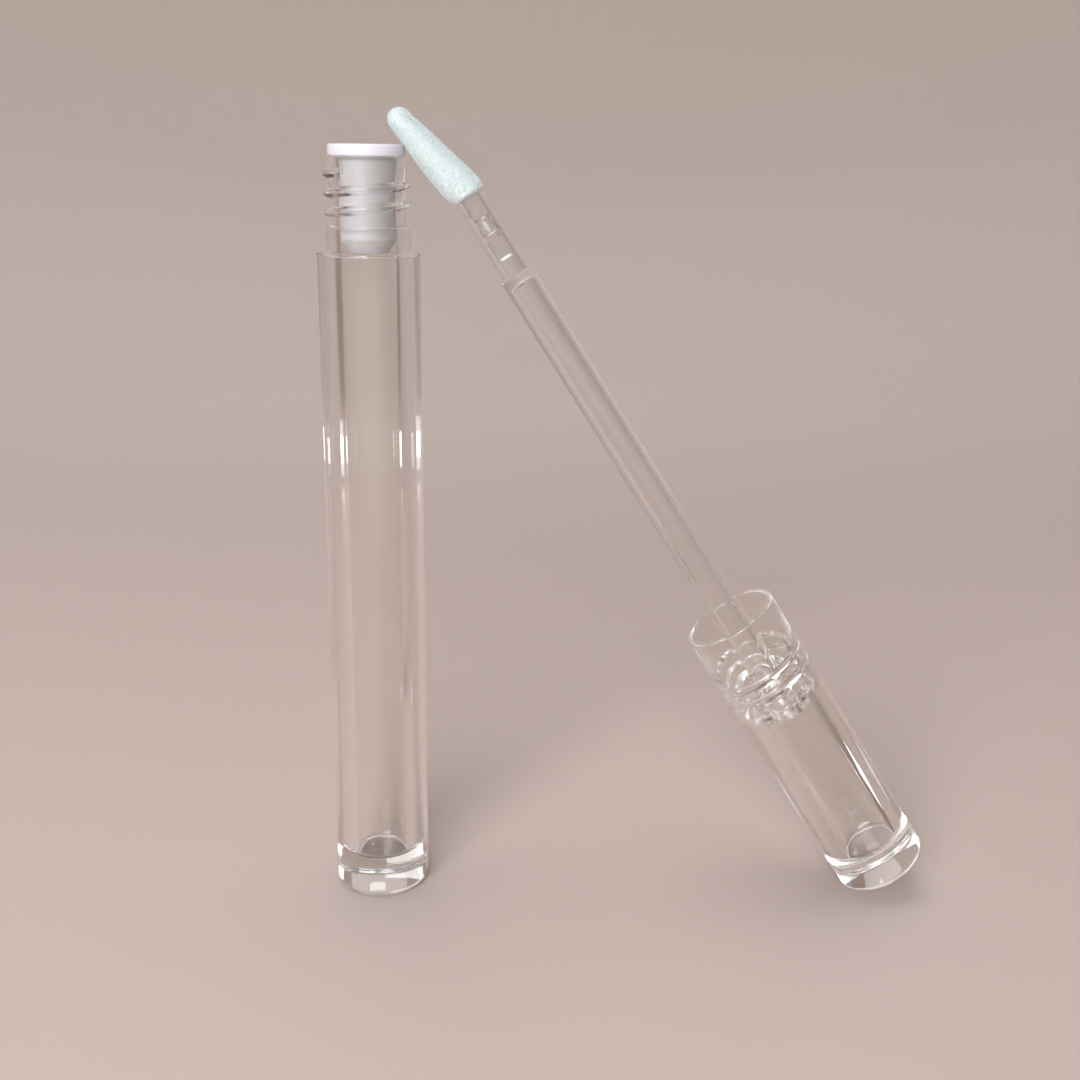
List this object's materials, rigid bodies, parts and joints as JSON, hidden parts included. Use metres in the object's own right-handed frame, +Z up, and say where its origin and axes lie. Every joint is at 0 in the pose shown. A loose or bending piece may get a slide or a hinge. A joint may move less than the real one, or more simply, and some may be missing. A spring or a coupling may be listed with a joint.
{
  "type": "lip gloss tube",
  "caption": "Slim clear lip gloss tube with a wiper in its neck, opened, its screw cap carrying a hollow stem with a bent flocked applicator that leans on the rim.",
  "frame": {"origin": "centre of the bottle's foot, on the surface it stands on", "axes": "+Z up along the bottle's axis; +X towards the cap end of the leaning wand; the wand lies in the plane Y = 0"},
  "size_m": [0.0904, 0.014, 0.1141],
  "materials": {
    "clear_plastic": "polished, clear, colourless thick-walled moulding",
    "stem_plastic": "polished, clear, thin-walled moulding",
    "milky_plastic": "soft, milky, satin",
    "core_plastic": "translucent natural, satin",
    "flock": "short white flocked fibres"
  },
  "bodies": {
    "bottle": {"bottle": "clear_plastic", "wiper": "milky_plastic"},
    "wand": {"cap": "clear_plastic", "stem": "stem_plastic", "applicator_core": "core_plastic", "applicator_flock": "flock"}
  },
  "joints": [
    {"name": "wand_swing", "type": "hinge", "parent": "bottle", "child": "wand", "pos_m": [0.00283, 0, 0.11433], "axis": [0, -1, 0], "range_deg": [0, 147.1]}
  ]
}
